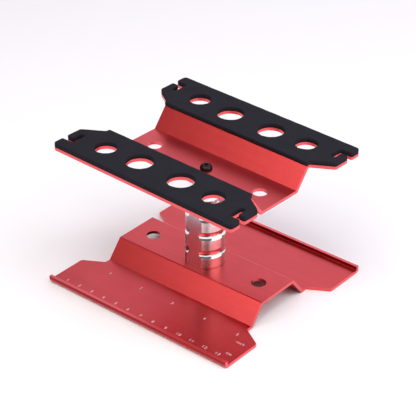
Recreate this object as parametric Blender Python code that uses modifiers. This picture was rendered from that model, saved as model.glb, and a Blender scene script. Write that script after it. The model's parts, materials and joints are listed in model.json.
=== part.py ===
"""Turning and lifting work stand for small models.

A folded sheet base carries a turned column. A tube telescopes in the column, and a folded
sheet platform with two foam pads turns on a spindle in the tube's head.

Metres, +Z up. The origin is on the table, under the column's axis, and +X runs along the base.
"""
import math

import bmesh
import bpy
from mathutils import Matrix, Vector

# ---------------------------------------------------------------- driving dimensions
GAP = 0.0003                  # clearance between pieces that touch or rest on each other
SHEET = 0.0020                # thickness of both folded plates
CREASE = 0.0005               # radius on the inside of the webs' folds
CREASE_OUTSIDE = 0.0016       # and on their outside, which is pressed sharper than a plain bend
LIP_BEND = 0.0007             # radius on the inside of the lips' folds

# Both plates
PLATE_LENGTH = 0.1406         # along X, over the flanges
TONGUE = 0.0133               # how far the flanges reach past the web at each end
CORNER_ROUND = 0.0020         # corners of the plan outlines
NECK_ROUND = 0.0012           # hollow corner where a flange widens out of the web

# Base plate
BASE_DEPTH = 0.1339           # along Y, over the lips
BASE_HEIGHT = 0.0140          # top of the raised section
BASE_LIP_HEIGHT = 0.0047
BASE_RAISED_WIDTH = 0.0318    # between the folds of the raised section's flat
BASE_FOOT_WIDTH = 0.0516      # between the folds at the foot of its slopes
BASE_FLARE_WIDTH = 0.0596     # where the flanges start to widen
BASE_FLARE_DEPTH = 0.0079     # how far each widening runs along Y
BASE_HOLE_RADIUS = 0.00475
WEB_HOLE_INSET = 0.0148       # of the end holes of both plates, from the web's end

# Platform plate
PLATFORM_TURN = math.radians(-2.07)   # of the platform on its swivel, at rest
PLATFORM_DEPTH = 0.1184
PLATFORM_RISE = 0.0128        # from the channel's floor to the flanges
CHANNEL_WIDTH = 0.0316        # between the folds of the channel's floor
CHANNEL_MOUTH = 0.0512        # between the folds at the top of its slopes
PLATFORM_FLARE_WIDTH = 0.0550
PLATFORM_FLARE_DEPTH = 0.0084
CHANNEL_HOLE_RADIUS = 0.00450
BIG_HOLE_RADIUS = 0.00845
BIG_HOLE_PLACE = (0.0162, 0.0408)
SMALL_HOLE_RADIUS = 0.0069
SMALL_HOLE_PLACE = (0.0426, 0.0423)

# Hooked slots in the ends of the platform's flanges and of the pads
SLOT_WIDTH = 0.0036
SLOT_MOUTH = 0.0099           # from the flange's outer edge to the middle of the mouth
SLOT_REACH = 0.0067           # from the flange's end to the middle of the branch
SLOT_HOOK = 0.0093            # from the middle of the mouth to the end of the branch
SLOT_ROUND = 0.0010

# Foam pads
PAD_THICKNESS = 0.0027
PAD_INNER_WIDTH = 0.0488      # between the two pads
PAD_CORNER_ROUND = 0.0012

# Column
COLUMN_LENGTH = 0.0457
COLUMN_WALL = 0.0017          # under its two flats
FLAT_CUT = 0.0015             # how deep each flat is cut
COLUMN_EDGE = 0.0004
GROOVES = 3
GROOVE_WIDTH = 0.0061
GROOVE_DEPTH = 0.0009

# Foot of the column
PLUG_LENGTH = 0.0050
PIN_RADIUS = 0.0012
PIN_OFFSET = 0.0060
BASE_WASHER_RADIUS = 0.0050
BASE_WASHER_THICKNESS = 0.0010

# Lift tube and its guide
GUIDE_LENGTH = 0.0126
GUIDE_WALL = 0.00095
TUBE_WALL = 0.00155
KEY_CUT = 0.0005              # how deep the tube's key flat is cut
TUBE_LEAD = 0.0010            # clear space under the tube, and tube left below its ring groove
RUNNING_FIT = 0.0002          # on the radius, between the tube and its guide
HEAD_STEP = 0.00235           # how far the head stands out past the tube
HEAD_LENGTH = 0.0117
HEAD_EDGE = 0.0005
STOP_RING_THICKNESS = 0.0012
STOP_RING_DEPTH = 0.00065     # of its groove in the tube

# Height set screw
SET_SCREW_DROP = 0.0035       # below the column's top
SET_SCREW_TIP_LENGTH = 0.0013
SET_SCREW_TIP_RADIUS = 0.0017
SET_SCREW_SOCKET = 0.0020     # across flats

# Swivel
THRUST_WASHER_THICKNESS = 0.0007
SPINDLE_FLANGE = 0.0031
SPINDLE_WALL = 0.0017         # round the screw's hole
BUSH_LENGTH = 0.0082
BUSH_WALL = 0.0017
SPINDLE_WASHER_THICKNESS = 0.0006
CLIP_THICKNESS = 0.0005
CLIP_DEPTH = 0.0007           # of its groove in the spindle
CLIP_STAND = 0.0010           # how far it stands out past the spindle
SPINDLE_END = 0.0009          # spindle left below the clip's groove

# M4 screws
SCREW_RADIUS = 0.0020
SCREW_HEAD_RADIUS = 0.0038
SCREW_HEAD_HEIGHT = 0.0022
SCREW_SOCKET = 0.0025         # across flats
SCREW_SOCKET_DEPTH = 0.0013
SCREW_END = 0.0005            # chamfer on a screw's end, and clear space beyond it
CENTRE_SCREW_LENGTH = 0.0130

ROUND_SEGMENTS = 48
SMALL_SEGMENTS = 24
HOLE_SEGMENTS = 48
RING_SEGMENTS = 32
OVERRUN = 0.0040              # how far a cutter runs past what it cuts

# ---------------------------------------------------------------- heights and fitted sizes
# From the screw outward: spindle, bush, lift tube, guide, column
SCREW_HOLE = SCREW_RADIUS + GAP
SPINDLE_RADIUS = SCREW_HOLE + SPINDLE_WALL
SPINDLE_HOLE = SPINDLE_RADIUS + GAP
BUSH_RADIUS = SPINDLE_HOLE + BUSH_WALL
TUBE_BORE = BUSH_RADIUS + GAP
TUBE_RADIUS = TUBE_BORE + TUBE_WALL
TUBE_FLAT = TUBE_RADIUS - KEY_CUT
HEAD_RADIUS = TUBE_RADIUS + HEAD_STEP
COLUMN_BORE = TUBE_RADIUS + RUNNING_FIT + GUIDE_WALL + GAP
COLUMN_FLATS = 2 * (COLUMN_BORE + COLUMN_WALL)
COLUMN_RADIUS = COLUMN_FLATS / 2 + FLAT_CUT
CLIP_OUTER_RADIUS = SPINDLE_RADIUS + CLIP_STAND

COLUMN_BOTTOM = BASE_HEIGHT + GAP
COLUMN_TOP = COLUMN_BOTTOM + COLUMN_LENGTH
PLUG_TOP = COLUMN_BOTTOM + PLUG_LENGTH
PLUG_RADIUS = COLUMN_BORE - GAP

BASE_WASHER_TOP = BASE_HEIGHT - SHEET - GAP
BASE_SCREW_SEAT = BASE_WASHER_TOP - BASE_WASHER_THICKNESS - GAP
BASE_SCREW_LENGTH = PLUG_TOP - SCREW_END - BASE_SCREW_SEAT

HEAD_BOTTOM = COLUMN_TOP + GAP
HEAD_TOP = HEAD_BOTTOM + HEAD_LENGTH
TUBE_BOTTOM = PLUG_TOP + TUBE_LEAD
STOP_RING_BOTTOM = TUBE_BOTTOM + TUBE_LEAD + GAP
STOP_RING_TOP = STOP_RING_BOTTOM + STOP_RING_THICKNESS
GUIDE_TOP = COLUMN_TOP - GAP
GUIDE_BOTTOM = GUIDE_TOP - GUIDE_LENGTH
SET_SCREW_HEIGHT = COLUMN_TOP - SET_SCREW_DROP

THRUST_WASHER_BOTTOM = HEAD_TOP + GAP
SPINDLE_SHOULDER = THRUST_WASHER_BOTTOM + THRUST_WASHER_THICKNESS + GAP
SPINDLE_TOP = SPINDLE_SHOULDER + SPINDLE_FLANGE
BUSH_TOP = HEAD_TOP - GAP
BUSH_BOTTOM = BUSH_TOP - BUSH_LENGTH
SPINDLE_WASHER_TOP = BUSH_BOTTOM - GAP
SPINDLE_WASHER_BOTTOM = SPINDLE_WASHER_TOP - SPINDLE_WASHER_THICKNESS
CLIP_TOP = SPINDLE_WASHER_BOTTOM - GAP
CLIP_BOTTOM = CLIP_TOP - CLIP_THICKNESS

CHANNEL_TOP = SPINDLE_TOP + GAP + SHEET
PLATFORM_TOP = CHANNEL_TOP + PLATFORM_RISE
PAD_BOTTOM = PLATFORM_TOP + GAP
CENTRE_SCREW_SEAT = CHANNEL_TOP + GAP

# Half sizes of the plan outlines
END_X = PLATE_LENGTH / 2
WEB_X = END_X - TONGUE
WEB_HOLE_OFFSET = WEB_X - WEB_HOLE_INSET
PLATFORM_Y = PLATFORM_DEPTH / 2


# ---------------------------------------------------------------- scene, materials, helpers
def new_scene():
    """Remove what the file holds and make the two collections."""
    for obj in list(bpy.data.objects):
        bpy.data.objects.remove(obj, do_unlink=True)
    made = []
    for name in ("work_stand", "cutters"):
        collection = bpy.data.collections.new(name)
        bpy.context.scene.collection.children.link(collection)
        made.append(collection)
    return made


PARTS, CUTTERS = new_scene()


def material(name, colour, roughness, metallic):
    made = bpy.data.materials.new(name)
    made.use_nodes = True
    shader = made.node_tree.nodes["Principled BSDF"]
    shader.inputs["Base Color"].default_value = (*colour, 1.0)
    shader.inputs["Roughness"].default_value = roughness
    shader.inputs["Metallic"].default_value = metallic
    return made


RED = (0.53, 0.035, 0.06)
SILVER = (0.80, 0.79, 0.79)
STEEL = (0.45, 0.45, 0.47)
BLACK_STEEL = (0.02, 0.02, 0.022)
BRONZE = (0.56, 0.36, 0.16)
NYLON = (0.82, 0.80, 0.74)
FOAM = (0.03, 0.028, 0.035)


def add(name, mesh, look=None, parent=None, location=(0, 0, 0), rotation=(0, 0, 0)):
    """Place a mesh: a part when it has a look, or else a cutter."""
    obj = bpy.data.objects.new(name, mesh)
    obj.location = location
    obj.rotation_euler = rotation
    obj.parent = parent
    if look is None:
        CUTTERS.objects.link(obj)
        obj.hide_render = True
        obj.display_type = "WIRE"
    else:
        PARTS.objects.link(obj)
        mesh.materials.append(material(name, *look))
    return obj


def axis_empty(name, turn=0.0, parent=None):
    """An empty on the column's axis, which carries what moves along or about it."""
    empty = bpy.data.objects.new(name, None)
    empty.empty_display_size = 0.01
    empty.rotation_euler = (0, 0, turn)
    empty.parent = parent
    PARTS.objects.link(empty)
    return empty


def boolean(obj, cutter, operation="DIFFERENCE"):
    modifier = obj.modifiers.new(cutter.name, "BOOLEAN")
    modifier.operation = operation
    modifier.solver = "EXACT"
    modifier.object = cutter


# ---------------------------------------------------------------- flat outlines
def rounded(corners, degrees=18):
    """Points of a closed outline, from (x, y, radius) corners, with each round as an arc."""
    points = []
    for i, (x, y, radius) in enumerate(corners):
        corner = Vector((x, y))
        to_last = Vector(corners[i - 1][:2]) - corner
        to_next = Vector(corners[(i + 1) % len(corners)][:2]) - corner
        if radius == 0:
            points.append(corner)
            continue
        half = to_last.angle(to_next) / 2
        centre = corner + (to_last.normalized() + to_next.normalized()).normalized() * (
            radius / math.sin(half))
        spoke = corner + to_last.normalized() * (radius / math.tan(half)) - centre
        turn = math.pi - 2 * half
        if to_last.cross(to_next) > 0:
            turn = -turn
        count = max(2, math.ceil(abs(turn) / math.radians(degrees)))
        for k in range(count + 1):
            points.append(centre + Matrix.Rotation(turn * k / count, 2) @ spoke)
    return [point for i, point in enumerate(points) if (point - points[i - 1]).length > 1e-6]


def circle(x, y, radius):
    """Points of a round hole."""
    angles = [math.tau * k / HOLE_SEGMENTS for k in range(HOLE_SEGMENTS)]
    return [(x + radius * math.cos(angle), y + radius * math.sin(angle)) for angle in angles]


def slab(name, outlines, thickness, **place):
    """A flat outline, with any holes, given a thickness about its own plane, as a mesh."""
    curve = bpy.data.curves.new(name, "CURVE")
    curve.dimensions = "2D"
    curve.fill_mode = "BOTH"
    curve.extrude = thickness / 2
    for points in outlines:
        spline = curve.splines.new("POLY")
        spline.points.add(len(points) - 1)
        for target, point in zip(spline.points, points):
            target.co = (point[0], point[1], 0, 1)
        spline.use_cyclic_u = True
    flat = bpy.data.objects.new(name, curve)
    bpy.context.scene.collection.objects.link(flat)
    depsgraph = bpy.context.evaluated_depsgraph_get()
    mesh = bpy.data.meshes.new_from_object(flat.evaluated_get(depsgraph))
    bpy.data.objects.remove(flat, do_unlink=True)
    work = bmesh.new()
    work.from_mesh(mesh)
    bmesh.ops.remove_doubles(work, verts=work.verts, dist=0.00001)
    bmesh.ops.dissolve_limit(work, angle_limit=math.radians(1), verts=work.verts,
                             edges=work.edges)
    bmesh.ops.recalc_face_normals(work, faces=work.faces)
    work.to_mesh(mesh)
    work.free()
    mesh.materials.clear()
    return add(name, mesh, **place)


def four_ways(quarter):
    """Mirror a quarter's corners, which run from +X to +Y, into a closed outline."""
    back = [(-x, y, radius) for x, y, radius in reversed(quarter)]
    half = quarter + back
    return half + [(x, -y, radius) for x, y, radius in reversed(half)]


def sheet_section(path):
    """Closed section of a folded sheet whose upper face follows path, from -Y to +Y.

    Each fold in the path is (y, z, inside radius, outside radius), and its ends are (y, z).
    """
    points = [Vector(point[:2]) for point in path]
    runs = [(b - a).normalized() for a, b in zip(points, points[1:])]
    sides = [Vector((run.y, -run.x)) for run in runs]
    upper, lower = [], []
    for i, point in enumerate(points):
        first = sides[max(i - 1, 0)]
        second = sides[min(i, len(sides) - 1)]
        mitre = (first + second) / (1 + first.dot(second))
        radii = path[i][2:] or (0, 0)
        if 0 < i < len(points) - 1 and runs[i - 1].cross(runs[i]) < 0:
            radii = radii[::-1]
        upper.append((*point, radii[0]))
        lower.append((*(point + mitre * SHEET), radii[1]))
    return rounded(upper + lower[::-1])


def mirrored_path(half):
    """A path from -Y to +Y, from its half on the +Y side."""
    return [(-point[0], *point[1:]) for point in reversed(half)] + list(half)


# ---------------------------------------------------------------- round pieces and cutters
def turned(name, profile, segments=ROUND_SEGMENTS, closed=False, **place):
    """A turned piece from its (radius, height) profile, which runs down its outer side."""
    work = bmesh.new()
    verts = [work.verts.new((radius, 0, height)) for radius, height in profile]
    pairs = list(zip(verts, verts[1:]))
    if closed:
        pairs.append((verts[-1], verts[0]))
    for pair in pairs:
        work.edges.new(pair)
    mesh = bpy.data.meshes.new(name)
    work.to_mesh(mesh)
    work.free()
    obj = add(name, mesh, **place)
    spin = obj.modifiers.new("turn", "SCREW")
    spin.angle = math.tau
    spin.steps = segments
    spin.render_steps = segments
    spin.use_smooth_shade = True
    spin.use_merge_vertices = not closed
    spin.merge_threshold = 0.00001
    return obj


def ring(name, inner, outer, bottom, top, **place):
    """A washer, bush or ring of rectangular section."""
    profile = [(inner, top), (outer, top), (outer, bottom), (inner, bottom)]
    return turned(name, profile, RING_SEGMENTS, closed=True, **place)


def drill(name, holes, bottom, top, segments=HOLE_SEGMENTS, **place):
    """One cutter with an upright cylinder for each (x, y, radius) hole."""
    work = bmesh.new()
    for x, y, radius in holes:
        bmesh.ops.create_cone(work, cap_ends=True, segments=segments, radius1=radius,
                              radius2=radius, depth=top - bottom,
                              matrix=Matrix.Translation((x, y, (top + bottom) / 2)))
    mesh = bpy.data.meshes.new(name)
    work.to_mesh(mesh)
    work.free()
    return add(name, mesh, **place)


def blocks(name, boxes, **place):
    """One cutter with a block for each (low corner, high corner) pair."""
    work = bmesh.new()
    for low, high in boxes:
        low, high = Vector(low), Vector(high)
        matrix = Matrix.Translation((low + high) / 2) @ Matrix.Diagonal((*(high - low), 1))
        bmesh.ops.create_cube(work, size=1, matrix=matrix)
    mesh = bpy.data.meshes.new(name)
    work.to_mesh(mesh)
    work.free()
    return add(name, mesh, **place)


def hex_socket(owner, across_flats, depth, top):
    """Cut a hexagon socket down the owner's own axis from its top."""
    radius = across_flats / 2 / math.cos(math.pi / 6)
    cutter = drill(owner.name + "_socket", [(0, 0, radius)], top - depth, top + OVERRUN,
                   segments=6, parent=owner)
    boolean(owner, cutter)


def open_ring(owner, radius, bottom, top, width, parent=None):
    """Cut the gap of a snap ring, on its -X side."""
    cutter = blocks(owner.name + "_gap",
                    [((-radius - OVERRUN, -width / 2, bottom - OVERRUN),
                      (0, width / 2, top + OVERRUN))], parent=parent)
    boolean(owner, cutter)


# ---------------------------------------------------------------- folded plates
def folded_plate(name, path, outline, holes, bottom, top, parent=None):
    """Fold a strip along path, trim it to its plan outline and drill it."""
    strip = slab(name, [sheet_section(path)], PLATE_LENGTH + 2 * OVERRUN,
                 look=(RED, 0.38, 0.85), parent=parent,
                 rotation=(math.pi / 2, 0, math.pi / 2))
    low, high = bottom - OVERRUN, top + OVERRUN
    trim = slab(name + "_outline", [rounded(outline)], high - low,
                parent=parent, location=(0, 0, (low + high) / 2))
    boolean(strip, trim, "INTERSECT")
    boolean(strip, drill(name + "_holes", holes, low, high, parent=parent))


def make_base_plate():
    lip = BASE_DEPTH / 2 - SHEET
    crease, bend = (CREASE, CREASE_OUTSIDE), (LIP_BEND, LIP_BEND + SHEET)
    path = mirrored_path([(BASE_RAISED_WIDTH / 2, BASE_HEIGHT, *crease),
                          (BASE_FOOT_WIDTH / 2, SHEET, *crease),
                          (lip, SHEET, *bend), (lip, BASE_LIP_HEIGHT)])
    flare = BASE_FLARE_WIDTH / 2
    outline = four_ways([(WEB_X, flare, NECK_ROUND),
                         (END_X, flare + BASE_FLARE_DEPTH, CORNER_ROUND),
                         (END_X, BASE_DEPTH / 2 + OVERRUN, 0)])
    holes = [(side * WEB_HOLE_OFFSET, 0, BASE_HOLE_RADIUS) for side in (-1, 1)]
    holes += [(0, 0, SCREW_HOLE), (PIN_OFFSET, 0, PIN_RADIUS + GAP)]
    folded_plate("base_plate", path, outline, holes, 0, BASE_HEIGHT)


def flange_end():
    """Corners of a platform flange's end, from the web out to its outer edge."""
    flare = PLATFORM_FLARE_WIDTH / 2
    half = SLOT_WIDTH / 2
    mouth = PLATFORM_Y - SLOT_MOUTH
    branch = END_X - SLOT_REACH
    hook = mouth - SLOT_HOOK
    return [(WEB_X, flare, NECK_ROUND),
            (END_X, flare + PLATFORM_FLARE_DEPTH, CORNER_ROUND),
            (END_X, mouth - half, SLOT_ROUND),
            (branch + half, mouth - half, SLOT_ROUND),
            (branch + half, hook, half),
            (branch - half, hook, half),
            (branch - half, mouth + half, SLOT_ROUND),
            (END_X, mouth + half, SLOT_ROUND),
            (END_X, PLATFORM_Y, CORNER_ROUND)]


def flange_holes(y_sides):
    return [(x_side * x, y_side * y, radius)
            for (x, y), radius in ((BIG_HOLE_PLACE, BIG_HOLE_RADIUS),
                                   (SMALL_HOLE_PLACE, SMALL_HOLE_RADIUS))
            for x_side in (-1, 1) for y_side in y_sides]


def make_top_plate(platform):
    crease = (CREASE, CREASE_OUTSIDE)
    path = mirrored_path([(CHANNEL_WIDTH / 2, CHANNEL_TOP, *crease),
                          (CHANNEL_MOUTH / 2, PLATFORM_TOP, *crease),
                          (PLATFORM_Y + OVERRUN, PLATFORM_TOP)])
    holes = [(side * WEB_HOLE_OFFSET, 0, CHANNEL_HOLE_RADIUS) for side in (-1, 1)]
    holes += [(0, 0, SCREW_HOLE)] + flange_holes((-1, 1))
    folded_plate("top_plate", path, four_ways(flange_end()), holes,
                 CHANNEL_TOP - SHEET, PLATFORM_TOP, parent=platform)


def make_pad(name, y_side, platform):
    """One foam pad, which has the outline and the holes of the flange that it lies on."""
    inner = (WEB_X, PAD_INNER_WIDTH / 2, PAD_CORNER_ROUND)
    half = [inner] + flange_end()
    mirrored = [(-x, y, radius) for x, y, radius in reversed(half)]
    outline = [(x, y_side * y, radius) for x, y, radius in half + mirrored]
    holes = [circle(*hole) for hole in flange_holes((y_side,))]
    slab(name, [rounded(outline)] + holes, PAD_THICKNESS, look=(FOAM, 0.9, 0.0),
         parent=platform, location=(0, 0, PAD_BOTTOM + PAD_THICKNESS / 2))


# ---------------------------------------------------------------- screws
def button_screw(name, length, **place):
    """A button-head socket screw; its origin is under the head, which points up +Z."""
    crown = SCREW_HEAD_RADIUS * 0.5
    rim = SCREW_HEAD_HEIGHT * 0.2
    steps = 4
    profile = [(0, SCREW_HEAD_HEIGHT)]
    for k in range(steps + 1):
        angle = math.pi / 2 * k / steps
        profile.append((crown + (SCREW_HEAD_RADIUS - crown) * math.sin(angle),
                        rim + (SCREW_HEAD_HEIGHT - rim) * math.cos(angle)))
    profile += [(SCREW_HEAD_RADIUS, 0), (SCREW_RADIUS, 0), (SCREW_RADIUS, SCREW_END - length),
                (SCREW_RADIUS - SCREW_END, -length), (0, -length)]
    screw = turned(name, profile, SMALL_SEGMENTS, look=(BLACK_STEEL, 0.4, 0.9), **place)
    hex_socket(screw, SCREW_SOCKET, SCREW_SOCKET_DEPTH, SCREW_HEAD_HEIGHT)


def rod(name, radius, length, look, **place):
    """A round pin from its origin along +Z, with small chamfers."""
    edge = radius / 6
    profile = [(0, length), (radius - edge, length), (radius, length - edge), (radius, edge),
               (radius - edge, 0), (0, 0)]
    return turned(name, profile, SMALL_SEGMENTS, look=look, **place)


# ---------------------------------------------------------------- column and what is in it
def make_column():
    land = (COLUMN_LENGTH - GROOVES * GROOVE_WIDTH) / (GROOVES + 1)
    groove_radius = (GROOVE_WIDTH ** 2 / 4 + GROOVE_DEPTH ** 2) / (2 * GROOVE_DEPTH)
    groove_angle = math.asin(GROOVE_WIDTH / 2 / groove_radius)
    steps = 6
    profile = [(COLUMN_BORE, COLUMN_TOP), (COLUMN_RADIUS - COLUMN_EDGE, COLUMN_TOP),
               (COLUMN_RADIUS, COLUMN_TOP - COLUMN_EDGE)]
    for index in range(GROOVES):
        middle = COLUMN_TOP - (index + 1) * land - (index + 0.5) * GROOVE_WIDTH
        for k in range(steps + 1):
            angle = groove_angle * (1 - 2 * k / steps)
            depth = GROOVE_DEPTH - groove_radius * (1 - math.cos(angle))
            profile.append((COLUMN_RADIUS - depth, middle + groove_radius * math.sin(angle)))
    profile += [(COLUMN_RADIUS, COLUMN_BOTTOM + COLUMN_EDGE),
                (COLUMN_RADIUS - COLUMN_EDGE, COLUMN_BOTTOM), (COLUMN_BORE, COLUMN_BOTTOM)]
    column = turned("column_body", profile, closed=True, look=(SILVER, 0.25, 1.0))
    flat, side = COLUMN_FLATS / 2, COLUMN_RADIUS + OVERRUN
    low, high = COLUMN_BOTTOM - OVERRUN, COLUMN_TOP + OVERRUN
    flats = [((-side, y, low), (side, y + OVERRUN, high)) for y in (-flat - OVERRUN, flat)]
    boolean(column, blocks("column_flats", flats))
    boolean(column, set_screw_hole("column_set_screw_hole"))


def set_screw_hole(name):
    """A cutter along +Y through the wall on the rear side."""
    return drill(name, [(0, 0, SCREW_HOLE)], 0, COLUMN_RADIUS - TUBE_BORE + OVERRUN,
                 SMALL_SEGMENTS, location=(0, TUBE_BORE, SET_SCREW_HEIGHT),
                 rotation=(-math.pi / 2, 0, 0))


def make_column_foot():
    plug = ring("foot_plug", SCREW_HOLE, PLUG_RADIUS, COLUMN_BOTTOM, PLUG_TOP,
                look=(STEEL, 0.35, 1.0))
    boolean(plug, drill("foot_plug_pin_hole", [(PIN_OFFSET, 0, PIN_RADIUS + GAP)],
                        COLUMN_BOTTOM - OVERRUN, PLUG_TOP + OVERRUN, SMALL_SEGMENTS))
    ring("base_washer", SCREW_HOLE, BASE_WASHER_RADIUS,
         BASE_WASHER_TOP - BASE_WASHER_THICKNESS, BASE_WASHER_TOP, look=(STEEL, 0.35, 1.0))
    button_screw("base_screw", BASE_SCREW_LENGTH, location=(0, 0, BASE_SCREW_SEAT),
                 rotation=(math.pi, 0, 0))
    pin_bottom = BASE_HEIGHT - SHEET + GAP
    rod("locating_pin", PIN_RADIUS, PLUG_TOP - GAP - pin_bottom, (STEEL, 0.3, 1.0),
        location=(PIN_OFFSET, 0, pin_bottom))


def make_guide():
    guide = ring("guide_bush", TUBE_RADIUS + RUNNING_FIT, COLUMN_BORE - GAP, GUIDE_BOTTOM,
                 GUIDE_TOP, look=(NYLON, 0.5, 0.0))
    boolean(guide, set_screw_hole("guide_bush_set_screw_hole"))


def make_set_screw():
    """The grub screw in the rear flat, and the nylon tip between it and the tube's flat."""
    tip_start = TUBE_FLAT + GAP
    rod("set_screw_tip", SET_SCREW_TIP_RADIUS, SET_SCREW_TIP_LENGTH, (NYLON, 0.5, 0.0),
        location=(0, tip_start, SET_SCREW_HEIGHT), rotation=(-math.pi / 2, 0, 0))
    start = tip_start + SET_SCREW_TIP_LENGTH + GAP
    length = COLUMN_FLATS / 2 - GAP - start
    grub = rod("height_set_screw", SCREW_RADIUS, length, (BLACK_STEEL, 0.4, 0.9),
               location=(0, start, SET_SCREW_HEIGHT), rotation=(-math.pi / 2, 0, 0))
    hex_socket(grub, SET_SCREW_SOCKET, length / 2, length)


# ---------------------------------------------------------------- lift
def make_lift(lift):
    groove = TUBE_RADIUS - STOP_RING_DEPTH
    profile = [(TUBE_BORE, HEAD_TOP), (HEAD_RADIUS - HEAD_EDGE, HEAD_TOP),
               (HEAD_RADIUS, HEAD_TOP - HEAD_EDGE), (HEAD_RADIUS, HEAD_BOTTOM + HEAD_EDGE),
               (HEAD_RADIUS - HEAD_EDGE, HEAD_BOTTOM), (TUBE_RADIUS, HEAD_BOTTOM),
               (TUBE_RADIUS, STOP_RING_TOP + GAP), (groove, STOP_RING_TOP + GAP),
               (groove, STOP_RING_BOTTOM - GAP), (TUBE_RADIUS, STOP_RING_BOTTOM - GAP),
               (TUBE_RADIUS, TUBE_BOTTOM), (TUBE_BORE, TUBE_BOTTOM)]
    tube = turned("lift_tube", profile, closed=True, look=(SILVER, 0.28, 1.0), parent=lift)
    key_flat = blocks("lift_tube_flat",
                      [((-TUBE_RADIUS, TUBE_FLAT, TUBE_BOTTOM - OVERRUN),
                        (TUBE_RADIUS, TUBE_RADIUS + OVERRUN, COLUMN_TOP))], parent=lift)
    boolean(tube, key_flat)
    stop = ring("stop_ring", groove + GAP, COLUMN_BORE - GAP, STOP_RING_BOTTOM, STOP_RING_TOP,
                look=(STEEL, 0.35, 1.0), parent=lift)
    open_ring(stop, COLUMN_BORE, STOP_RING_BOTTOM, STOP_RING_TOP, 2 * SCREW_RADIUS, lift)
    ring("swivel_bush", SPINDLE_HOLE, BUSH_RADIUS, BUSH_BOTTOM, BUSH_TOP,
         look=(BRONZE, 0.4, 1.0), parent=lift)
    ring("thrust_washer", SPINDLE_HOLE, HEAD_RADIUS - HEAD_EDGE, THRUST_WASHER_BOTTOM,
         THRUST_WASHER_BOTTOM + THRUST_WASHER_THICKNESS, look=(NYLON, 0.5, 0.0), parent=lift)


# ---------------------------------------------------------------- platform
def make_spindle(platform):
    groove = SPINDLE_RADIUS - CLIP_DEPTH
    bottom = CLIP_BOTTOM - GAP - SPINDLE_END
    hole_bottom = CENTRE_SCREW_SEAT - CENTRE_SCREW_LENGTH - SCREW_END
    profile = [(0, hole_bottom), (SCREW_HOLE, hole_bottom), (SCREW_HOLE, SPINDLE_TOP),
               (HEAD_RADIUS, SPINDLE_TOP), (HEAD_RADIUS, SPINDLE_SHOULDER),
               (SPINDLE_RADIUS, SPINDLE_SHOULDER), (SPINDLE_RADIUS, CLIP_TOP + GAP),
               (groove, CLIP_TOP + GAP), (groove, CLIP_BOTTOM - GAP),
               (SPINDLE_RADIUS, CLIP_BOTTOM - GAP), (SPINDLE_RADIUS, bottom), (0, bottom)]
    turned("swivel_spindle", profile, look=(SILVER, 0.3, 1.0), parent=platform)
    ring("spindle_washer", SPINDLE_HOLE, BUSH_RADIUS, SPINDLE_WASHER_BOTTOM,
         SPINDLE_WASHER_TOP, look=(STEEL, 0.35, 1.0), parent=platform)
    clip = ring("spindle_clip", groove + GAP, CLIP_OUTER_RADIUS, CLIP_BOTTOM, CLIP_TOP,
                look=(STEEL, 0.35, 1.0), parent=platform)
    open_ring(clip, CLIP_OUTER_RADIUS, CLIP_BOTTOM, CLIP_TOP, SCREW_RADIUS, platform)


def build():
    make_base_plate()
    make_column()
    make_column_foot()
    make_guide()
    make_set_screw()
    lift = axis_empty("lift_axis")
    make_lift(lift)
    platform = axis_empty("platform_axis", PLATFORM_TURN, lift)
    make_spindle(platform)
    make_top_plate(platform)
    make_pad("front_pad", -1, platform)
    make_pad("rear_pad", 1, platform)
    button_screw("centre_screw", CENTRE_SCREW_LENGTH, parent=platform,
                 location=(0, 0, CENTRE_SCREW_SEAT))


build()
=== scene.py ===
import json
import math

import bmesh
import bpy
from mathutils import Matrix, Vector


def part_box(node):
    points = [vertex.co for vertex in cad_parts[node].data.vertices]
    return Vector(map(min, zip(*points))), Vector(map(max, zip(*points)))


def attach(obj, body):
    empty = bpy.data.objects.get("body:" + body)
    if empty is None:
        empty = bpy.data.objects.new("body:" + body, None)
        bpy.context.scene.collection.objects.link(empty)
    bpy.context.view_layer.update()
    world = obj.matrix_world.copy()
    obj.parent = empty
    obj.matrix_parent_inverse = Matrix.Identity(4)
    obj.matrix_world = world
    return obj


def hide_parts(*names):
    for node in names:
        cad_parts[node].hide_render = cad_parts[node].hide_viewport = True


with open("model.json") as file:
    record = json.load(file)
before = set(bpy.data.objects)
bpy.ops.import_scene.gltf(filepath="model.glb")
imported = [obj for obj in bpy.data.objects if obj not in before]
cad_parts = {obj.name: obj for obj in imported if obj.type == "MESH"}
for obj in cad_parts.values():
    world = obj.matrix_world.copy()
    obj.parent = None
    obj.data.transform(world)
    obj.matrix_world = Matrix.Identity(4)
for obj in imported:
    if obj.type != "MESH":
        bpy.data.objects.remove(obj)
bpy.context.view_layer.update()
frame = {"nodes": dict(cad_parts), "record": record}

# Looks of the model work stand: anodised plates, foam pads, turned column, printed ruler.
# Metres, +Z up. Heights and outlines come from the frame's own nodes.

# ---------------------------------------------------------------- sizes
SHEET = 0.0020                  # thickness of the folded plates
RIM_ROUND = 0.00028             # rounded edges of the cut sheet
LIP_REACH = 0.0645              # from the axis to just inside the base plate's lips
LIP_TOP = 0.0042                # a height just under the top of the lips
SHOULDER_REACH = 0.0005         # how near the column's top a vertex counts as the shoulder
PAD_VOXEL = 0.00045             # grid that the pads are remeshed on
PAD_SMOOTHING = 4               # passes that soften a pad's edges
PAD_GLUE_GAP = 0.00022          # how far each pad's underside reaches into the gap under it
PAD_WAVE = 0.00007              # height of the soft unevenness of a pad's top
GROOVES = 3
GROOVE_WIDTH = 0.0061
GROOVE_DEPTH = 0.0009
COLUMN_BORE = 0.0093
COLUMN_EDGE = 0.0004
COLUMN_FOOT_EDGE = 0.00015
COLUMN_SETTLE = 0.00024         # how far the column's foot reaches into the gap under it
COLUMN_STEPS = 192              # sides of the turned column
GROOVE_STEPS = 14               # and points down each of its grooves
LAND_REACH = 0.01244            # from the axis to just under the column's lands
FLAT_REACH = 0.01098            # and to just under its flats
SET_SCREW_HOLE = 0.0023         # radius
DRILL_LEAD = 0.0010             # how far the drill starts inside the column's bore
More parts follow.
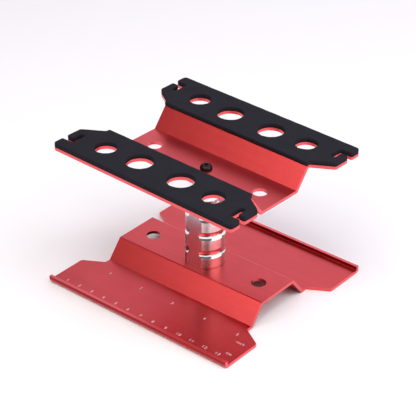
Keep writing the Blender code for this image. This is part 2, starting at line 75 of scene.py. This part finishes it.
DRILL_LENGTH = 0.0060
DRILL_SEGMENTS = 48
NUMBER_SIZE = 0.0033
UNIT_SIZE = 0.9                 # of the unit names, against the numbers
NUMBER_THICKNESS = 0.00003
NUMBER_THINNING = 0.00002       # how much the strokes are drawn thinner
NUMBER_LIFT = 1.4               # of a number's face off the sheet, in thicknesses
CENTIMETRES = 13
INCHES = 5
CENTIMETRE = 0.0100
INCH = 0.0254
RULER_START = -0.0712           # x of the ruler's zero
CENTIMETRE_ROW = -0.0600
INCH_ROW = -0.0376
CENTIMETRE_LABEL = (0.0641, -0.0558)
INCH_LABEL = (0.0628, -0.0435)
PLATFORM_TURN = math.radians(-2.07)     # of the platform at rest
FLOOR_SIZE = 6.0
LIGHT_CENTRE = (0, 0, 0.04)     # where every soft light points

# distances under which vertices count as one
CAD_MERGE = 0.000004
TURNED_MERGE = 0.000002
PRINT_MERGE = 0.000001
FLAT_CUT_REACH = 0.0000001

# degrees: an edge that turns more is rounded, and one that still does is kept crisp
FLAT_ANGLE = 0.5
PLATE_RIM_ANGLE = 40
SMALL_RIM_ANGLE = 35
PLATE_CRISP_ANGLE = 50
SMALL_CRISP_ANGLE = 40
PAD_CRISP_ANGLE = 75
COLUMN_CRISP_ANGLE = 14

# sockets of a colour mix node, which share their names with those of its other types
MIX_FIRST = 6
MIX_SECOND = 7
MIX_RESULT = 2


# ---------------------------------------------------------------- shader node groups
class Nodes:
    """Shorthand for placing and joining nodes in one tree."""

    def __init__(self, tree):
        self.tree = tree

    def add(self, kind, values=None, **settings):
        node = self.tree.nodes.new(kind)
        for name, value in settings.items():
            setattr(node, name, value)
        for name, value in (values or {}).items():
            self.feed(node.inputs[name], value)
        return node

    def feed(self, socket, value):
        if isinstance(value, bpy.types.NodeSocket):
            self.tree.links.new(value, socket)
        else:
            socket.default_value = value

    def math(self, operation, *values, clamp=False):
        node = self.add("ShaderNodeMath", operation=operation, use_clamp=clamp)
        for socket, value in zip(node.inputs, values):
            self.feed(socket, value)
        return node.outputs[0]

    def mix(self, factor, first, second):
        node = self.add("ShaderNodeMix", data_type="RGBA")
        self.feed(node.inputs["Factor"], factor)
        self.feed(node.inputs[MIX_FIRST], first)
        self.feed(node.inputs[MIX_SECOND], second)
        return node.outputs[MIX_RESULT]


def node_group(name, inputs, outputs, build):
    """A shader node group; build(nodes, inputs) returns the value of each output."""
    group = bpy.data.node_groups.new(name, "ShaderNodeTree")
    for label, default in inputs.items():
        socket = group.interface.new_socket(label, in_out="INPUT", socket_type="NodeSocketFloat")
        socket.default_value = default
    for label in outputs:
        group.interface.new_socket(label, in_out="OUTPUT", socket_type="NodeSocketFloat")
    nodes = Nodes(group)
    entry = group.nodes.new("NodeGroupInput")
    leave = group.nodes.new("NodeGroupOutput")
    for socket, value in zip(leave.inputs, build(nodes, entry.outputs)):
        nodes.feed(socket, value)
    return group


def build_grain(nodes, given):
    place = nodes.add("ShaderNodeTexCoord").outputs["Object"]
    scale = nodes.math("DIVIDE", 1.0, given["Size"])
    fine = nodes.add("ShaderNodeTexNoise", {"Vector": place, "Scale": scale, "Detail": 3.0,
                                            "Roughness": 0.65}).outputs["Fac"]
    blotch_scale = nodes.math("DIVIDE", 1.0, given["Blotch Size"])
    blotch = nodes.add("ShaderNodeTexNoise", {"Vector": place, "Scale": blotch_scale,
                                              "Detail": 4.0}).outputs["Fac"]
    return fine, blotch


# the rims this finds get a lighter colour: partly wear, partly a painted highlight
def build_edge_wear(nodes, given):
    rounded = nodes.add("ShaderNodeBevel", {"Radius": given["Radius"]}, samples=6)
    facing = nodes.add("ShaderNodeNewGeometry").outputs["Normal"]
    agree = nodes.add("ShaderNodeVectorMath", operation="DOT_PRODUCT")
    nodes.feed(agree.inputs[0], rounded.outputs["Normal"])
    nodes.feed(agree.inputs[1], facing)
    turned = nodes.math("SUBTRACT", 1.0, agree.outputs["Value"], clamp=True)
    return [nodes.math("MULTIPLY", turned, given["Strength"], clamp=True)]


def build_lathe_lines(nodes, given):
    place = nodes.add("ShaderNodeTexCoord").outputs["Object"]
    height = nodes.add("ShaderNodeSeparateXYZ", {"Vector": place}).outputs["Z"]
    scale = nodes.math("DIVIDE", 1.0, given["Pitch"])
    turns = nodes.add("ShaderNodeTexNoise", {"W": height, "Scale": scale, "Detail": 4.0,
                                             "Roughness": 0.7}, noise_dimensions="1D")
    return [turns.outputs["Fac"]]


def build_satin_lands(nodes, given):
    place = nodes.add("ShaderNodeTexCoord").outputs["Object"]
    split = nodes.add("ShaderNodeSeparateXYZ", {"Vector": place}).outputs
    across = nodes.math("MULTIPLY", split["X"], split["X"])
    along = nodes.math("MULTIPLY", split["Y"], split["Y"])
    reach = nodes.math("SQRT", nodes.math("ADD", across, along))
    land = nodes.math("GREATER_THAN", reach, LAND_REACH)
    flat = nodes.math("GREATER_THAN", nodes.math("ABSOLUTE", split["Y"]), FLAT_REACH)
    return nodes.math("MAXIMUM", land, nodes.math("MULTIPLY", flat, 0.45)), flat


def build_rolled_streaks(nodes, given):
    place = nodes.add("ShaderNodeTexCoord").outputs["Object"]
    pulled = nodes.add("ShaderNodeMapping", {"Vector": place, "Scale": (0.06, 1.0, 1.0)})
    scale = nodes.math("DIVIDE", 1.0, given["Width"])
    streaks = nodes.add("ShaderNodeTexNoise", {"Vector": pulled.outputs["Vector"],
                                               "Scale": scale, "Detail": 5.0, "Roughness": 0.6})
    return [streaks.outputs["Fac"]]


def build_cut_faces(nodes, given):
    """Find the sheared faces, with the lips' tops, which are lightened partly as a painted
    highlight, and the upright sides of the lips, which carry a painted shade.
    """
    place = nodes.add("ShaderNodeTexCoord").outputs["Object"]
    where = nodes.add("ShaderNodeSeparateXYZ", {"Vector": place}).outputs
    facing = nodes.add("ShaderNodeNewGeometry").outputs["Normal"]
    facing = nodes.add("ShaderNodeSeparateXYZ", {"Vector": facing}).outputs
    upright = nodes.math("LESS_THAN", nodes.math("ABSOLUTE", facing["Z"]), 0.08)
    outer = nodes.math("GREATER_THAN", nodes.math("ABSOLUTE", where["Y"]), LIP_REACH)
    endwise = nodes.math("GREATER_THAN", nodes.math("ABSOLUTE", facing["X"]), 0.2)
    side = nodes.math("SUBTRACT", outer, endwise, clamp=True)
    high = nodes.math("GREATER_THAN", where["Z"], LIP_TOP)
    lip_top = nodes.math("MULTIPLY", nodes.math("MULTIPLY", outer, high),
                         nodes.math("GREATER_THAN", facing["Z"], 0.8))
    cut = nodes.math("ADD", nodes.math("SUBTRACT", upright, side, clamp=True), lip_top,
                     clamp=True)
    return cut, nodes.math("MULTIPLY", upright, side)


GRAIN = node_group("fine_grain", {"Size": 0.0002, "Blotch Size": 0.02}, ["Fine", "Blotch"],
                   build_grain)
EDGE_WEAR_AND_HIGHLIGHT = node_group("edge_wear_and_highlight", {"Radius": 0.0004, "Strength": 2.0}, ["Mask"],
                       build_edge_wear)
CUT_FACES = node_group("cut_faces", {}, ["Cut", "Lip Side Painted Shade"], build_cut_faces)
ROLLED_STREAKS = node_group("rolled_streaks", {"Width": 0.004}, ["Streaks"],
                            build_rolled_streaks)
SATIN_LANDS = node_group("satin_lands", {}, ["Satin", "Flat"], build_satin_lands)
LATHE_LINES = node_group("lathe_lines", {"Pitch": 0.0003}, ["Lines"], build_lathe_lines)


def new_material(name, **plain):
    """A material, its node helper and its Principled shader, with plain socket values."""
    made = bpy.data.materials.new(name)
    made.use_nodes = True
    nodes = Nodes(made.node_tree)
    shader = made.node_tree.nodes["Principled BSDF"]
    for label, value in plain.items():
        shader.inputs[label.replace("_", " ")].default_value = value
    return made, nodes, shader


def place_group(nodes, group, **values):
    node = nodes.add("ShaderNodeGroup", node_tree=group)
    for label, value in values.items():
        nodes.feed(node.inputs[label.replace("_", " ")], value)
    return node.outputs


def bump(nodes, shader, height, strength, distance):
    made = nodes.add("ShaderNodeBump", {"Strength": strength, "Distance": distance})
    nodes.feed(made.inputs["Height"], height)
    nodes.feed(shader.inputs["Normal"], made.outputs["Normal"])


def spread(nodes, value, low, high):
    """Map a noise value, which stays near its middle, to low..high."""
    made = nodes.add("ShaderNodeMapRange", {"From Min": 0.3, "From Max": 0.7, "To Min": low,
                                            "To Max": high})
    nodes.feed(made.inputs["Value"], value)
    return made.outputs["Result"]


# ---------------------------------------------------------------- finishes
def red_anodised():
    made, nodes, shader = new_material("red_anodised", Metallic=1.0, Coat_Roughness=0.26,
                                       Coat_IOR=1.5)
    grain = place_group(nodes, GRAIN, Size=0.00016, Blotch_Size=0.018)
    tone = spread(nodes, grain["Blotch"], 0.0, 1.0)
    dye = nodes.mix(tone, (0.59, 0.030, 0.033, 1), (0.65, 0.038, 0.040, 1))
    streaks = place_group(nodes, ROLLED_STREAKS, Width=0.004)["Streaks"]
    dye = nodes.mix(spread(nodes, streaks, 0.0, 0.35), dye, (0.46, 0.018, 0.024, 1))
    speckled = nodes.mix(spread(nodes, grain["Fine"], 0.0, 0.35), dye, (0.78, 0.08, 0.08, 1))
    # lighter rims: partly wear, partly a painted highlight along the edges
    worn_and_highlit = place_group(nodes, EDGE_WEAR_AND_HIGHLIGHT, Radius=0.0005, Strength=1.6)["Mask"]
    faces = place_group(nodes, CUT_FACES)
    # painted shade: the lips' upright outer sides are darkened and their coat thinned, standing in
    # for the dark surroundings they reflect
    painted_lip_shade = nodes.math("MULTIPLY", faces["Lip Side Painted Shade"], 0.75)
    lip_shade_painted = nodes.mix(painted_lip_shade, speckled, (0.22, 0.006, 0.014, 1))
    # sheared faces and lips' tops are lighter red: partly the raw cut edge, partly a painted
    # highlight
    sheared_and_highlight = nodes.mix(nodes.math("MULTIPLY", faces["Cut"], 0.6), lip_shade_painted, (0.92, 0.13, 0.15, 1))
    nodes.feed(shader.inputs["Coat Weight"],
               nodes.math("SUBTRACT", 0.5, nodes.math("MULTIPLY", painted_lip_shade, 0.5)))
    nodes.feed(shader.inputs["Base Color"], nodes.mix(worn_and_highlit, sheared_and_highlight, (0.95, 0.22, 0.22, 1)))
    nodes.feed(shader.inputs["Roughness"], spread(nodes, grain["Fine"], 0.26, 0.38))
    bump(nodes, shader, grain["Fine"], 0.30, 0.00004)
    return made


def turned_aluminium():
    """Bright in the grooves, finely turned and more satin on the lands and the flats; the flats
    also carry a painted shade, darker and lilac.
    """
    made, nodes, shader = new_material("turned_aluminium", Metallic=1.0)
    lines = place_group(nodes, LATHE_LINES, Pitch=0.00035)["Lines"]
    faces = place_group(nodes, SATIN_LANDS)
    satin = faces["Satin"]
    grain = place_group(nodes, GRAIN, Size=0.0005, Blotch_Size=0.01)
    colour = nodes.mix(spread(nodes, grain["Blotch"], 0.0, 1.0), (0.80, 0.79, 0.80, 1),
                       (0.88, 0.87, 0.88, 1))
    # painted shade: the column's flats are darkened and tinted lilac
    painted_flat_shade = nodes.math("MULTIPLY", faces["Flat"], 0.8)
    nodes.feed(shader.inputs["Base Color"], nodes.mix(painted_flat_shade, colour, (0.52, 0.47, 0.56, 1)))
    rough = nodes.math("ADD", spread(nodes, lines, 0.10, 0.18), nodes.math("MULTIPLY", satin, 0.14))
    nodes.feed(shader.inputs["Roughness"], rough)
    bump(nodes, shader, nodes.math("MULTIPLY", lines, nodes.math("ADD", satin, 0.15)), 0.4, 0.00005)
    return made


def black_foam():
    made, nodes, shader = new_material("black_foam", Metallic=0.0, Specular_IOR_Level=0.13)
    grain = place_group(nodes, GRAIN, Size=0.00035, Blotch_Size=0.012)
    base = nodes.mix(spread(nodes, grain["Blotch"], 0.0, 1.0), (0.008, 0.007, 0.011, 1),
                     (0.012, 0.011, 0.016, 1))
    colour = nodes.mix(spread(nodes, grain["Fine"], 0.0, 0.8), base, (0.021, 0.019, 0.027, 1))
    nodes.feed(shader.inputs["Base Color"], colour)
    nodes.feed(shader.inputs["Roughness"], spread(nodes, grain["Fine"], 0.72, 0.95))
    bump(nodes, shader, grain["Fine"], 0.6, 0.00012)
    return made


def black_oxide():
    made, nodes, shader = new_material("black_oxide", Metallic=0.8)
    grain = place_group(nodes, GRAIN, Size=0.0003, Blotch_Size=0.003)
    # lighter rims: partly wear, partly a painted highlight along the edges
    worn_and_highlit = place_group(nodes, EDGE_WEAR_AND_HIGHLIGHT, Radius=0.0003, Strength=1.2)["Mask"]
    colour = nodes.mix(worn_and_highlit, (0.018, 0.018, 0.020, 1), (0.16, 0.16, 0.17, 1))
    nodes.feed(shader.inputs["Base Color"], colour)
    nodes.feed(shader.inputs["Roughness"], spread(nodes, grain["Fine"], 0.28, 0.42))
    bump(nodes, shader, grain["Fine"], 0.2, 0.00003)
    return made


def plain_finish(name, first, second, metallic, smooth, rough):
    """A quiet finish for the small inner pieces: two tones and an uneven gloss."""
    made, nodes, shader = new_material(name, Metallic=metallic)
    grain = place_group(nodes, GRAIN, Size=0.0004, Blotch_Size=0.004)
    tone = spread(nodes, grain["Blotch"], 0.0, 1.0)
    nodes.feed(shader.inputs["Base Color"], nodes.mix(tone, first, second))
    nodes.feed(shader.inputs["Roughness"], spread(nodes, grain["Fine"], smooth, rough))
    bump(nodes, shader, grain["Fine"], 0.15, 0.00003)
    return made


def finishes():
    return {
        "red_plate": red_anodised(),
        "turned_aluminium": turned_aluminium(),
        "foam": black_foam(),
        "black_steel": black_oxide(),
        "zinc_steel": plain_finish("zinc_steel", (0.46, 0.46, 0.48, 1), (0.58, 0.58, 0.59, 1),
                                   1.0, 0.25, 0.42),
        "nylon": plain_finish("natural_nylon", (0.74, 0.72, 0.66, 1), (0.82, 0.80, 0.74, 1),
                              0.0, 0.42, 0.55),
        "bronze": plain_finish("sintered_bronze", (0.50, 0.30, 0.13, 1), (0.62, 0.40, 0.19, 1),
                               1.0, 0.38, 0.55),
        "print": plain_finish("ruler_print", (0.70, 0.58, 0.62, 1), (0.80, 0.68, 0.72, 1),
                              0.0, 0.50, 0.62),
    }


FINISH = finishes()


# ---------------------------------------------------------------- pieces
def piece(name, mesh, body, slot, finish=None, replaced=()):
    """Show a mesh as a piece that rides on a body and may stand for CAD nodes."""
    mesh.materials.clear()
    mesh.materials.append(FINISH[finish or slot])
    obj = bpy.data.objects.new(name, mesh)
    bpy.context.scene.collection.objects.link(obj)
    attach(obj, body)
    if replaced:
        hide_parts(*replaced)
    return obj


def merged_copy(node):
    """A bmesh copy of a CAD node with its doubled points merged and its flats made whole."""
    work = bmesh.new()
    work.from_mesh(frame["nodes"][node].data)
    bmesh.ops.remove_doubles(work, verts=work.verts, dist=CAD_MERGE)
    bmesh.ops.dissolve_limit(work, angle_limit=math.radians(FLAT_ANGLE), verts=work.verts,
                             edges=work.edges)
    return work


def to_mesh(work, name, sharp_angle):
    """A smooth-shaded mesh from the bmesh, with its sharper edges kept crisp."""
    mesh = bpy.data.meshes.new(name)
    work.to_mesh(mesh)
    work.free()
    mesh.shade_smooth()
    mesh.set_sharp_from_angle(angle=math.radians(sharp_angle))
    return mesh


def even_normals(obj):
    """Keep flat faces flat beside their rounded edges."""
    modifier = obj.modifiers.new("flat_faces", "WEIGHTED_NORMAL")
    modifier.keep_sharp = True
    modifier.weight = 100


def round_rims(work, angle, width, segments):
    """Round every edge that turns more sharply than angle."""
    rims = [edge for edge in work.edges
            if edge.is_manifold and edge.calc_face_angle() > math.radians(angle)]
    bmesh.ops.bevel(work, geom=rims, offset=width, offset_type="OFFSET", segments=segments,
                    profile=0.5, affect="EDGES", material=-1, clamp_overlap=True)


def make_plate(node, body):
    """A folded plate with its cut edges and hole rims rounded."""
    work = merged_copy(node)
    round_rims(work, PLATE_RIM_ANGLE, RIM_ROUND, 2)
    obj = piece(node + "_sheet", to_mesh(work, node + "_sheet", PLATE_CRISP_ANGLE), body,
                "red_plate", replaced=[node])
    even_normals(obj)


def remesh(mesh, size):
    """The mesh rebuilt on an even grid of the given size."""
    holder = bpy.data.objects.new("remesh", mesh)
    bpy.context.scene.collection.objects.link(holder)
    modifier = holder.modifiers.new("grid", "REMESH")
    modifier.mode = "VOXEL"
    modifier.voxel_size = size
    depsgraph = bpy.context.evaluated_depsgraph_get()
    made = bpy.data.meshes.new_from_object(holder.evaluated_get(depsgraph))
    bpy.data.objects.remove(holder, do_unlink=True)
    return made


def make_pad(node, body):
    """A die-cut foam pad: soft edges, a gently uneven top and a flat glued underside."""
    low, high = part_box(node)
    work = merged_copy(node)
    underside = low.z - PAD_GLUE_GAP
    for vert in work.verts:
        if vert.co.z < low.z + PAD_VOXEL:
            vert.co.z = underside
    mesh = bpy.data.meshes.new(node + "_blank")
    work.to_mesh(mesh)
    work.free()
    # the grid follows the pad's own edges, so the platform's turn is undone meanwhile
    mesh.transform(Matrix.Rotation(-PLATFORM_TURN, 4, "Z"))
    mesh = remesh(mesh, PAD_VOXEL)
    mesh.transform(Matrix.Rotation(PLATFORM_TURN, 4, "Z"))
    work = bmesh.new()
    work.from_mesh(mesh)
    for _ in range(PAD_SMOOTHING):
        bmesh.ops.smooth_vert(work, verts=work.verts, factor=0.5, use_axis_x=True,
                              use_axis_y=True, use_axis_z=True)
    top = max(vert.co.z for vert in work.verts)
    bottom = min(vert.co.z for vert in work.verts)
    for vert in work.verts:
        share = (vert.co.z - bottom) / (top - bottom)
        x, y = vert.co.x, vert.co.y
        wave = math.sin(x * 210 + 1.3) * math.sin(y * 260 + x * 90) + math.sin(x * 530 - y * 410)
        vert.co.z = (underside + share * (high.z - underside)
                     - share ** 3 * PAD_WAVE * (1 + 0.5 * wave))
    bmesh.ops.recalc_face_normals(work, faces=work.faces)
    obj = piece(node + "_foam", to_mesh(work, node + "_foam", PAD_CRISP_ANGLE), body, "foam",
                replaced=[node])


def turned(profile, steps):
    """A turned bmesh about Z from a closed (radius, height) profile."""
    work = bmesh.new()
    verts = [work.verts.new((radius, 0, height)) for radius, height in profile]
    edges = [work.edges.new(pair) for pair in zip(verts, verts[1:] + verts[:1])]
    bmesh.ops.spin(work, geom=verts + edges, cent=(0, 0, 0), axis=(0, 0, 1), angle=math.tau,
                   steps=steps, use_merge=True, use_normal_flip=False, use_duplicate=False)
    bmesh.ops.remove_doubles(work, verts=work.verts, dist=TURNED_MERGE)
    bmesh.ops.recalc_face_normals(work, faces=work.faces)
    return work


def column_profile(low, high):
    """The grooved outside of the column and its bore."""
    radius = high.x
    land = (high.z - low.z - GROOVES * GROOVE_WIDTH) / (GROOVES + 1)
    arc_radius = (GROOVE_WIDTH ** 2 / 4 + GROOVE_DEPTH ** 2) / (2 * GROOVE_DEPTH)
    half_angle = math.asin(GROOVE_WIDTH / 2 / arc_radius)
    profile = [(COLUMN_BORE, high.z), (radius - COLUMN_EDGE, high.z),
               (radius, high.z - COLUMN_EDGE)]
    for index in range(GROOVES):
        middle = high.z - (index + 1) * land - (index + 0.5) * GROOVE_WIDTH
        for k in range(GROOVE_STEPS + 1):
            angle = half_angle * (1 - 2 * k / GROOVE_STEPS)
            depth = GROOVE_DEPTH - arc_radius * (1 - math.cos(angle))
            profile.append((radius - depth, middle + arc_radius * math.sin(angle)))
    foot = low.z - COLUMN_SETTLE
    return profile + [(radius, foot + COLUMN_FOOT_EDGE), (radius - COLUMN_FOOT_EDGE, foot),
                      (COLUMN_BORE, foot)]


def drill_along_y(obj, radius, height, start, length):
    """Cut a round hole along +Y into the object, as a finished mesh."""
    work = bmesh.new()
    place = (Matrix.Translation((0, start + length / 2, height))
             @ Matrix.Rotation(math.pi / 2, 4, "X"))
    bmesh.ops.create_cone(work, cap_ends=True, segments=DRILL_SEGMENTS, radius1=radius,
                          radius2=radius, depth=length, matrix=place)
    mesh = bpy.data.meshes.new("drill")
    work.to_mesh(mesh)
    work.free()
    cutter = bpy.data.objects.new("drill", mesh)
    bpy.context.scene.collection.objects.link(cutter)
    modifier = obj.modifiers.new("hole", "BOOLEAN")
    modifier.object = cutter
    modifier.operation = "DIFFERENCE"
    modifier.solver = "EXACT"
    depsgraph = bpy.context.evaluated_depsgraph_get()
    obj.data = bpy.data.meshes.new_from_object(obj.evaluated_get(depsgraph))
    obj.modifiers.clear()
    bpy.data.objects.remove(cutter, do_unlink=True)


def make_column():
    """The grooved column with its two flats and the set screw's hole in the rear one."""
    low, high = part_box("column_body")
    tall = high.copy()
    tall.x = (high.x - low.x) / 2
    work = turned(column_profile(low, tall), COLUMN_STEPS)
    for y in (low.y, high.y):
        cut = bmesh.ops.bisect_plane(work, geom=work.verts[:] + work.edges[:] + work.faces[:],
                                     plane_co=(0, y, 0), plane_no=(0, math.copysign(1, y), 0),
                                     clear_outer=True, dist=FLAT_CUT_REACH)
        rim = [item for item in cut["geom_cut"] if isinstance(item, bmesh.types.BMEdge)]
        bmesh.ops.holes_fill(work, edges=rim, sides=0)
    bmesh.ops.recalc_face_normals(work, faces=work.faces)
    obj = piece("column_turned", to_mesh(work, "column_turned", COLUMN_CRISP_ANGLE), "base",
                "turned_aluminium", replaced=["column_body"])
    screw_low, screw_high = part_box("height_set_screw")
    drill_along_y(obj, SET_SCREW_HOLE, (screw_low.z + screw_high.z) / 2,
                  COLUMN_BORE - DRILL_LEAD, DRILL_LENGTH)
    obj.data.shade_smooth()
    obj.data.set_sharp_from_angle(angle=math.radians(COLUMN_CRISP_ANGLE))
    even_normals(obj)


def make_softened(node, body, slot, rim, settle):
    """A CAD node's own shape with rounded rims; its shoulder may close most of a gap."""
    work = merged_copy(node)
    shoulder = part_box("column_body")[1].z
    for vert in work.verts:
        if settle and abs(vert.co.z - shoulder) < SHOULDER_REACH:
            vert.co.z -= settle
    round_rims(work, SMALL_RIM_ANGLE, rim, 2)
    obj = piece(node + "_finished", to_mesh(work, node + "_finished", SMALL_CRISP_ANGLE), body,
                slot, replaced=[node])
    even_normals(obj)


# ---------------------------------------------------------------- printed ruler
def words(text, size, x, y, z):
    """A mesh of flat printed text, centred on (x, y), with its face at z."""
    curve = bpy.data.curves.new("print", "FONT")
    curve.body = text
    curve.size = size
    curve.extrude = NUMBER_THICKNESS / 2
    curve.offset = -NUMBER_THINNING
    curve.align_x = "CENTER"
    curve.align_y = "CENTER"
    curve.resolution_u = 4
    curve.space_character = 1.25
    holder = bpy.data.objects.new("print", curve)
    bpy.context.scene.collection.objects.link(holder)
    depsgraph = bpy.context.evaluated_depsgraph_get()
    mesh = bpy.data.meshes.new_from_object(holder.evaluated_get(depsgraph))
    bpy.data.objects.remove(holder, do_unlink=True)
    mesh.transform(Matrix.Translation((x, y, z - NUMBER_THICKNESS / 2)))
    return mesh


def print_row(name, meshes):
    """One piece of the ruler from the meshes of its numbers and unit."""
    work = bmesh.new()
    for mesh in meshes:
        work.from_mesh(mesh)
    bmesh.ops.remove_doubles(work, verts=work.verts, dist=PRINT_MERGE)
    mesh = bpy.data.meshes.new(name)
    work.to_mesh(mesh)
    work.free()
    piece(name, mesh, "base", "red_plate", finish="print")


def make_ruler():
    """The two rows of numbers and their units, printed on the front flange."""
    face = SHEET + NUMBER_THICKNESS * NUMBER_LIFT
    row = [words(str(k), NUMBER_SIZE, RULER_START + k * CENTIMETRE, CENTIMETRE_ROW, face)
           for k in range(1, CENTIMETRES + 1)]
    row.append(words("cm", NUMBER_SIZE * UNIT_SIZE, *CENTIMETRE_LABEL, face))
    print_row("ruler_centimetres", row)
    row = [words(str(k), NUMBER_SIZE, RULER_START + k * INCH, INCH_ROW, face)
           for k in range(1, INCHES + 1)]
    row.append(words("inch", NUMBER_SIZE * UNIT_SIZE, *INCH_LABEL, face))
    print_row("ruler_inches", row)


# ---------------------------------------------------------------- camera, floor and light
WARM = (1.0, 0.98, 0.92)
COOL = (0.95, 0.93, 1.10)
NEUTRAL = (1, 1, 1)
# azimuth and elevation in degrees, distance and size in metres, glow, colour
SOFTBOXES = {"front_softbox": (-10, 57, 1.2, 1.1, 3.2, WARM),
             "back_softbox": (-165, 35, 1.4, 1.7, 0.92, COOL),
             "top_softbox": (95, 62, 1.2, 0.8, 3.0, NEUTRAL),
             "right_softbox": (106, 18, 1.2, 1.4, 1.7, NEUTRAL)}
CAMERA = {"azimuth": 38.97, "elevation": 31.27, "roll": 0.69, "distance": 1.0113,
          "target": (0.0018, 0.0, 0.0513), "lens": 143.27, "sensor": 36.0}


def make_camera():
    """A long-lens camera; azimuth 0 looks along +Y and 90 along -X."""
    azimuth, elevation, roll = (math.radians(CAMERA[k]) for k in ("azimuth", "elevation", "roll"))
    back = Vector((math.sin(azimuth) * math.cos(elevation),
                   -math.cos(azimuth) * math.cos(elevation), math.sin(elevation)))
    right = Vector((math.cos(azimuth), math.sin(azimuth), 0))
    up = back.cross(right)
    right, up = (math.cos(roll) * right + math.sin(roll) * up,
                 math.cos(roll) * up - math.sin(roll) * right)
    data = bpy.data.cameras.new("camera")
    data.lens = CAMERA["lens"]
    data.sensor_width = CAMERA["sensor"]
    data.clip_start = 0.01
    camera = bpy.data.objects.new("camera", data)
    place = Matrix((right, up, back)).transposed().to_4x4()
    place.translation = Vector(CAMERA["target"]) + back * CAMERA["distance"]
    camera.matrix_world = place
    bpy.context.scene.collection.objects.link(camera)
    bpy.context.scene.camera = camera


def make_floor():
    """A plain pale floor, which isn't part of the stand."""
    work = bmesh.new()
    bmesh.ops.create_grid(work, x_segments=1, y_segments=1, size=FLOOR_SIZE)
    mesh = bpy.data.meshes.new("floor")
    work.to_mesh(mesh)
    work.free()
    paper = new_material("floor_paper", Roughness=0.9, Base_Color=(0.88, 0.865, 0.89, 1),
                         Specular_IOR_Level=0.1)[0]
    mesh.materials.append(paper)
    floor = bpy.data.objects.new("floor", mesh)
    bpy.context.scene.collection.objects.link(floor)


def softbox(name, azimuth, elevation, distance, size, glow, colour):
    """A square soft light that faces the stand; glow is how bright its panel looks."""
    azimuth, elevation = math.radians(azimuth), math.radians(elevation)
    toward = Vector((math.sin(azimuth) * math.cos(elevation),
                     -math.cos(azimuth) * math.cos(elevation), math.sin(elevation)))
    data = bpy.data.lights.new(name, "AREA")
    data.shape = "SQUARE"
    data.size = size
    data.energy = glow * math.pi * size ** 2
    data.color = colour
    light = bpy.data.objects.new(name, data)
    light.matrix_world = (Matrix.Translation(Vector(LIGHT_CENTRE) + toward * distance)
                          @ toward.to_track_quat("Z", "Y").to_matrix().to_4x4())
    bpy.context.scene.collection.objects.link(light)


def make_light():
    """Soft studio light; the world looks pale to the camera but lights the stand dimly."""
    world = bpy.data.worlds.new("studio")
    world.use_nodes = True
    nodes = Nodes(world.node_tree)
    dim = nodes.add("ShaderNodeBackground", {"Color": (0.95, 0.93, 1.0, 1), "Strength": 0.14})
    pale = nodes.add("ShaderNodeBackground", {"Color": (0.96, 0.955, 0.97, 1), "Strength": 1.0})
    seen = nodes.add("ShaderNodeLightPath").outputs["Is Camera Ray"]
    mixed = nodes.add("ShaderNodeMixShader")
    for socket, value in zip(mixed.inputs, (seen, dim.outputs[0], pale.outputs[0])):
        nodes.feed(socket, value)
    nodes.feed(world.node_tree.nodes["World Output"].inputs["Surface"], mixed.outputs[0])
    bpy.context.scene.world = world
    for name, settings in SOFTBOXES.items():
        softbox(name, *settings)
    bpy.context.scene.view_settings.view_transform = "Standard"


# ---------------------------------------------------------------- build
# body, material slot, rounding of the rims, and how far the shoulder settles
SOFTENED = {"lift_tube": ("lift", "turned_aluminium", 0.0002, 0.0002),
            "swivel_spindle": ("platform", "turned_aluminium", 0.0002, 0),
            "centre_screw": ("platform", "black_steel", 0.00018, 0),
            "base_screw": ("base", "black_steel", 0.00018, 0)}


def dress_cad_nodes():
    """Give every CAD node that still shows the finish of its own material slot."""
    for row in frame["record"]["subparts"]:
        node = frame["nodes"][row["node"]]
        node.data.materials.clear()
        node.data.materials.append(FINISH[row["material_slot"]])


def build():
    make_camera()
    make_plate("base_plate", "base")
    make_plate("top_plate", "platform")
    make_pad("front_pad", "platform")
    make_pad("rear_pad", "platform")
    make_column()
    for node, (body, slot, rim, settle) in SOFTENED.items():
        make_softened(node, body, slot, rim, settle)
    make_ruler()
    dress_cad_nodes()
    make_floor()
    make_light()


build()
